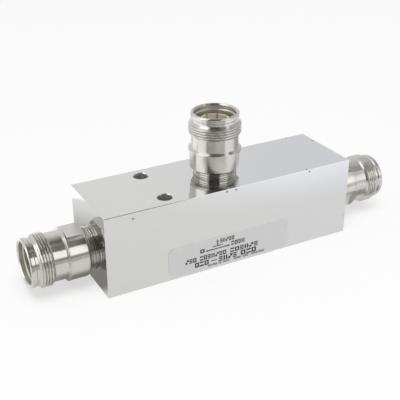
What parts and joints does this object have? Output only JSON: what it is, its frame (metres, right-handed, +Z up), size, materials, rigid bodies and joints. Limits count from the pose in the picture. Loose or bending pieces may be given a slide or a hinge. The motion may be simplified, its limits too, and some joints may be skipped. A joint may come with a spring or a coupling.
{
  "type": "rf power tapper",
  "caption": "Square metal bar with a threaded coaxial jack on each end, another on top for the tapped signal, plain fixing holes and a front label.",
  "frame": {"origin": "middle of the bar's underside, below the tap jack", "axes": "+X along the bar from the input jack to the through jack, +Z up through the tap jack, -Y out of the label face"},
  "size_m": [0.1548, 0.0321, 0.0569],
  "materials": {
    "bar_aluminium": "bright milled",
    "jack_plating": "bright nickel-like plating on turned brass",
    "contact_plating": "silver plating on spring brass",
    "line_brass": "turned",
    "line_insulator": "white, waxy",
    "seal_rubber": "matt black",
    "label_film": "satin clear film over metal"
  },
  "bodies": {
    "root": {"body_block": "bar_aluminium", "main_line_conductor": "line_brass", "tap_conductor": "line_brass", "input_line_support": "line_insulator", "through_line_support": "line_insulator", "rating_label": "label_film", "input_jack_shell": "jack_plating", "input_outer_contact": "contact_plating", "input_insulator_bead": "line_insulator", "input_centre_contact": "contact_plating", "input_rear_sleeve": "line_brass", "input_port_seal": "seal_rubber", "through_jack_shell": "jack_plating", "through_outer_contact": "contact_plating", "through_insulator_bead": "line_insulator", "through_centre_contact": "contact_plating", "through_rear_sleeve": "line_brass", "through_port_seal": "seal_rubber", "tap_jack_shell": "jack_plating", "tap_outer_contact": "contact_plating", "tap_insulator_bead": "line_insulator", "tap_centre_contact": "contact_plating", "tap_rear_sleeve": "line_brass", "tap_port_seal": "seal_rubber"}
  },
  "joints": []
}
